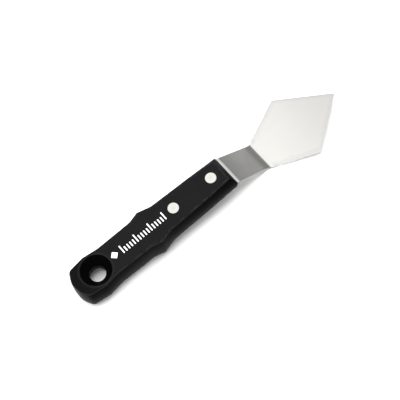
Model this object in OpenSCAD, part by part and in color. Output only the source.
// Palette knife: a cranked, kite-shaped steel blade in a moulded handle with a hanging
// hole, held by two cutler's rivets, each a pin driven into a socket.
// Millimetres. The origin is the centre of the hanging hole at the handle's mid-thickness.
// +X runs along the handle to the blade's tip, and +Z points out of the upper flat face.

/* [Handle] */
// Thickness between the two flat faces
handle_t = 17.5; // [14:0.5:20]
// Distance from the hanging hole to the front end
front_x = 103; // [100:1:112]
// Distance from the hanging hole to the butt end
butt_x = 17; // [16.5:0.5:20]
// Width of the handle at its front end
front_w = 22.6; // [20:0.2:24]
// Width of the handle at the finger stops, its widest place
stop_w = 27.2; // [26:0.2:30]
// Distance from the hanging hole to the finger stops
stop_x = 42; // [40:0.5:44]
// Width of the handle across the hanging hole
eye_w = 28; // [26:0.2:30]
// How far the flat faces stop short of the widest outline at the sides
side_bulge = 2; // [1.2:0.1:3]

/* [Hanging hole] */
// Diameter of the straight throat
throat_d = 10.5; // [6:0.5:11]
// Length of the straight throat
throat_len = 5; // [2:0.5:6]
// Diameter of the countersink at the flat face
mouth_d = 20.4; // [16:0.2:21]

/* [Blade] */
// Thickness of the tang and shank
steel_t = 1; // [0.8:0.1:1.6]
// Thickness at the tip, where the blade is ground thinner
tip_t = 0.6; // [0.4:0.1:0.8]
// Width of the shank where it leaves the handle
shank_w = 21.8; // [18:0.2:22]
// Width of the shank at the heel bend
heel_w = 20.5; // [17:0.5:22]
// Distance from the hanging hole to the heel bend
heel_x = 129; // [124:1:136]
// How far the heel lies below the handle's mid-thickness
crank_drop = 15.9; // [12:0.1:22]
// Pitch of the blade above the line of the handle, in degrees
blade_pitch = 4; // [0:1:8]
// Length of the blade from the heel to the tip
blade_len = 62.4; // [50:0.2:80]
// Width of the blade across its side corners
blade_w = 48.8; // [36:0.2:60]
// Distance from the heel to the side corners
corner_at = 30.4; // [24:0.2:36]
// Radius of the bend at the handle, to the middle of the sheet
first_bend_r = 4.4; // [1.6:0.1:4.8]
// Radius of the heel bend, to the middle of the sheet
heel_bend_r = 2.4; // [1.6:0.1:3.6]

/* [Rivets] */
// Distance from the hanging hole to the rear rivet
rear_rivet_x = 61; // [57:1:65]
// Distance between the two rivets
rivet_pitch = 30; // [24:1:32]
// Diameter of a rivet head
head_d = 7.2; // [6.4:0.2:8]
// Outer diameter of a rivet socket
socket_d = 5; // [4.4:0.1:5.4]
// Diameter of a rivet pin and of the bore it is driven into
pin_d = 3.2; // [2.6:0.1:3.6]

/* [Hidden] */
$fn = 96;

half_t = handle_t / 2;
front_rivet_x = rear_rivet_x + rivet_pitch;

// Flat faces: extra run-in at the front end, and almost none at the butt
front_run_in = 4.4;
butt_run_in = 0.4;
// Distance from the butt end to the corners that round it off
butt_corner = 3.6;
// Further run-in of the flat faces at the narrower front corners
front_corner_run_in = 1.6;
// Softened edge between a flat face and the bulged side
edge_r = 0.7;
// Radius of the bulged side in cross-section
bulge_r = (pow(half_t, 2) + pow(side_bulge, 2)) / (2 * side_bulge);

// Tang, slot and rivet seats
tang_x = 50;
tang_w = 15;
slot_clear = 0.05;
shoulder_gap = 0.1;
head_t = 1.6;
head_dome = 0.25;
seat_clear = 0.05;
tang_hole_d = socket_d + 0.3;
// How far before the heel bend the shank starts to flare into the blade
flare_lead = 1.8;
socket_gap = 0.5;
pin_gap = 0.4;
past = 1;

// Points of a closed outline whose corners are rounded. Each corner is [x, y, radius], and
// gives steps + 1 points on the arc that is tangent to its two sides.
function unit(v) = v / norm(v);
function corner_arc(before, at, after, radius, steps) =
    let (to_before = unit(before - at), to_after = unit(after - at))
    let (half_angle = acos(to_before * to_after) / 2)
    let (centre = at + unit(to_before + to_after) * radius / sin(half_angle))
    let (first = at + to_before * radius / tan(half_angle) - centre)
    let (last = at + to_after * radius / tan(half_angle) - centre)
    let (start = atan2(first[1], first[0]), raw = atan2(last[1], last[0]) - start)
    let (sweep = raw > 180 ? raw - 360 : raw < -180 ? raw + 360 : raw)
    [for (i = [0:steps]) centre + radius * [cos(start + sweep * i / steps),
                                            sin(start + sweep * i / steps)]];
function xy(corner) = [corner[0], corner[1]];
function rounded(corners, steps) =
    let (n = len(corners))
    [for (i = [0:n - 1]) each corner_arc(xy(corners[(i + n - 1) % n]), xy(corners[i]),
                                         xy(corners[(i + 1) % n]), corners[i][2], steps)];
// The corners of one side, then their mirror images in reverse order
function both_sides(side) =
    concat(side, [for (i = [len(side) - 1:-1:0]) [side[i][0], -side[i][1], side[i][2]]]);

// Widest outline of the handle at mid-thickness, from the butt to the front end
widest_side = [
    [-butt_x, 4.2, 18],
    [butt_corner - butt_x, 12.4, 4.5],
    [-1.6, eye_w / 2, 5],
    [9, 12.3, 16],
    [34.5, 12, 13],
    [stop_x, stop_w / 2 + 0.3, 3.4],
    [51, 12.2, 10],
    [80, 11.8, 60],
    [front_x, front_w / 2, 1]
];
// Run-in from that outline to the edge of a flat face: [along X, across Y], one per corner
run_in = [
    [butt_run_in, 0.4],
    [butt_run_in, side_bulge + 0.2],
    [0, side_bulge + 0.3],
    [0, side_bulge],
    [0, side_bulge - 0.6],
    [0, side_bulge - 0.7],
    [0, side_bulge + 0.2],
    [0, side_bulge + 0.8],
    [-front_run_in, side_bulge + front_corner_run_in]
];
// Radii of the flat face's own corners
face_r = [12, 3.4, 3, 16, 12, 1.6, 9, 60, 0.8];
face_side = [for (i = [0:len(widest_side) - 1])
    [widest_side[i][0] + run_in[i][0], widest_side[i][1] - run_in[i][1], face_r[i]]];

corner_steps = 6;
widest = rounded(both_sides(widest_side), corner_steps);
face = rounded(both_sides(face_side), corner_steps);

// Share of the run-in reached at height z: a circular bulge, then the softened edge
function bulge(z) = (bulge_r - sqrt(pow(bulge_r, 2) - pow(z, 2))) / side_bulge;
edge_steps = 3;
upper_rings = concat(
    [for (i = [0:4]) let (z = (half_t - edge_r) * i / 4) [z, bulge(z)]],
    [for (i = [1:edge_steps]) let (a = 90 * i / edge_steps)
        [half_t - edge_r * (1 - sin(a)), 1 - (1 - bulge(half_t - edge_r)) * cos(a)]]);
rings = concat([for (i = [len(upper_rings) - 1:-1:1]) [-upper_rings[i][0], upper_rings[i][1]]],
               upper_rings);

// The handle's solid skin: one ring of points per height, each between the widest outline
// and the outline of the flat face. The flat faces are strips from side to side.
module handle_skin() {
    n = len(widest);
    m = len(rings);
    points = [for (ring = rings) each [for (i = [0:n - 1])
        let (p = widest[i] + (face[i] - widest[i]) * ring[1]) [p[0], p[1], ring[0]]]];
    walls = [for (j = [0:m - 2], i = [0:n - 1])
        [j * n + i, j * n + (i + 1) % n, (j + 1) * n + (i + 1) % n, (j + 1) * n + i]];
    under = [for (i = [0:n / 2 - 2]) [i, i + 1, n - 2 - i, n - 1 - i]];
    upper = [for (strip = under) [for (k = [3:-1:0]) (m - 1) * n + strip[k]]];
    polyhedron(points, concat(under, walls, upper), convexity = 6);
}

// The hanging hole in section, [radius, height]: a straight throat, and a cone on each side
// that runs on past the flat face
module hanging_hole() {
    throat_r = throat_d / 2;
    mouth_r = mouth_d / 2;
    high = half_t + past;
    wide_r = mouth_r + past * (mouth_r - throat_r) / (half_t - throat_len / 2);
    rotate_extrude()
        polygon([
            [0, -high], [wide_r, -high], [throat_r, -throat_len / 2],
            [throat_r, throat_len / 2], [wide_r, high], [0, high]
        ]);
}

module rivet_seats(x) {
    translate([x, 0, -half_t - past])
        cylinder(d = socket_d + 2 * seat_clear, h = handle_t + 2 * past);
    for (side = [-1, 1])
        translate([x, 0, side * (half_t - head_t / 2 + past / 2)])
            cylinder(d = head_d + 2 * seat_clear, h = head_t + past, center = true);
}

module handle() {
    slot_w = tang_w + 4 * slot_clear;
    slot_t = steel_t + 2 * slot_clear;
    color([0.05, 0.05, 0.055])
        difference() {
            handle_skin();
            hanging_hole();
            translate([tang_x - 2 * slot_clear, -slot_w / 2, -slot_t / 2])
                cube([front_x - tang_x + past, slot_w, slot_t]);
            rivet_seats(rear_rivet_x);
            rivet_seats(front_rivet_x);
        }
}

// Side view of the steel: tang, first bend, shank, heel bend, then the blade ground thinner
module steel_side() {
    first_x = front_x + shoulder_gap + 0.9;
    shank_a = atan2(crank_drop, heel_x - first_x);
    turn_up = shank_a + blade_pitch;
    along = [cos(blade_pitch), sin(blade_pitch)];
    normal = [-sin(blade_pitch), cos(blade_pitch)];
    heel = [heel_x, -crank_drop];
    tip = heel + along * blade_len;
    first_centre = [first_x - first_bend_r * tan(shank_a / 2), -first_bend_r];
    heel_centre = heel + along * heel_bend_r * tan(turn_up / 2) + normal * heel_bend_r;
    steps = 8;
    function first_bend(r) = [for (i = [0:steps]) let (a = 90 - shank_a * i / steps)
        first_centre + r * [cos(a), sin(a)]];
    function heel_bend(r) = [for (i = [0:steps]) let (a = -90 - shank_a + turn_up * i / steps)
        heel_centre + r * [cos(a), sin(a)]];
    function reverse(v) = [for (i = [len(v) - 1:-1:0]) v[i]];
    polygon(concat(
        [[tang_x, steel_t / 2]],
        first_bend(first_bend_r + steel_t / 2),
        heel_bend(heel_bend_r - steel_t / 2),
        [tip + normal * tip_t / 2 + along, tip - normal * tip_t / 2 + along],
        reverse(heel_bend(heel_bend_r + steel_t / 2)),
        reverse(first_bend(first_bend_r - steel_t / 2)),
        [[tang_x, -steel_t / 2]]));
}

// Plan of the steel: round-cornered tang, shoulders, straight shank and kite
module steel_plan() {
    run = cos(blade_pitch);
    shoulder_x = front_x + shoulder_gap;
    side = [
        [tang_x, tang_w / 2, 3],
        [shoulder_x, tang_w / 2, 0.3],
        [shoulder_x, shank_w / 2, 0.4],
        [heel_x - flare_lead, heel_w / 2, 3],
        [heel_x + corner_at * run, blade_w / 2, 0.8],
        [heel_x + blade_len * run, 0.6, 0.6]
    ];
    polygon(rounded(both_sides(side), 6));
}

module blade() {
    depth = handle_t + crank_drop;
    color([0.78, 0.77, 0.75])
        difference() {
            intersection() {
                translate([0, 0, -2 * depth]) linear_extrude(3 * depth) steel_plan();
                rotate([90, 0, 0])
                    linear_extrude(blade_w + 2 * past, center = true) steel_side();
            }
            for (x = [rear_rivet_x, front_rivet_x])
                translate([x, 0, -steel_t]) cylinder(d = tang_hole_d, h = 2 * steel_t);
        }
}

// A low domed rivet head in section, whose flat back is at height 0
module rivet_head() {
    r = head_d / 2;
    dome_r = (pow(r, 2) + pow(head_dome, 2)) / (2 * head_dome);
    dome_a = asin(r / dome_r);
    rotate_extrude()
        polygon(concat([[0, 0], [r, 0]],
            [for (i = [0:6]) let (a = dome_a * (1 - i / 6))
                [dome_r * sin(a), head_t + head_dome - dome_r * (1 - cos(a))]]));
}

module rivet_pin(x) {
    bottom = -half_t + head_t + pin_gap;
    color([0.85, 0.85, 0.80])
        translate([x, 0, 0]) {
            translate([0, 0, half_t - head_t]) rivet_head();
            translate([0, 0, bottom]) cylinder(d = pin_d, h = half_t - head_t - bottom + past / 2);
        }
}

module rivet_socket(x) {
    floor_z = -half_t + head_t;
    top = half_t - head_t - socket_gap;
    color([0.85, 0.85, 0.80])
        difference() {
            translate([x, 0, 0]) {
                translate([0, 0, floor_z]) mirror([0, 0, 1]) rivet_head();
                translate([0, 0, floor_z - past / 2])
                    cylinder(d = socket_d, h = top - floor_z + past / 2);
            }
            translate([x, 0, floor_z]) cylinder(d = pin_d, h = handle_t);
        }
}

module rear_rivet_pin() { rivet_pin(rear_rivet_x); }
module rear_rivet_socket() { rivet_socket(rear_rivet_x); }
module front_rivet_pin() { rivet_pin(front_rivet_x); }
module front_rivet_socket() { rivet_socket(front_rivet_x); }

handle();
blade();
rear_rivet_pin();
rear_rivet_socket();
front_rivet_pin();
front_rivet_socket();
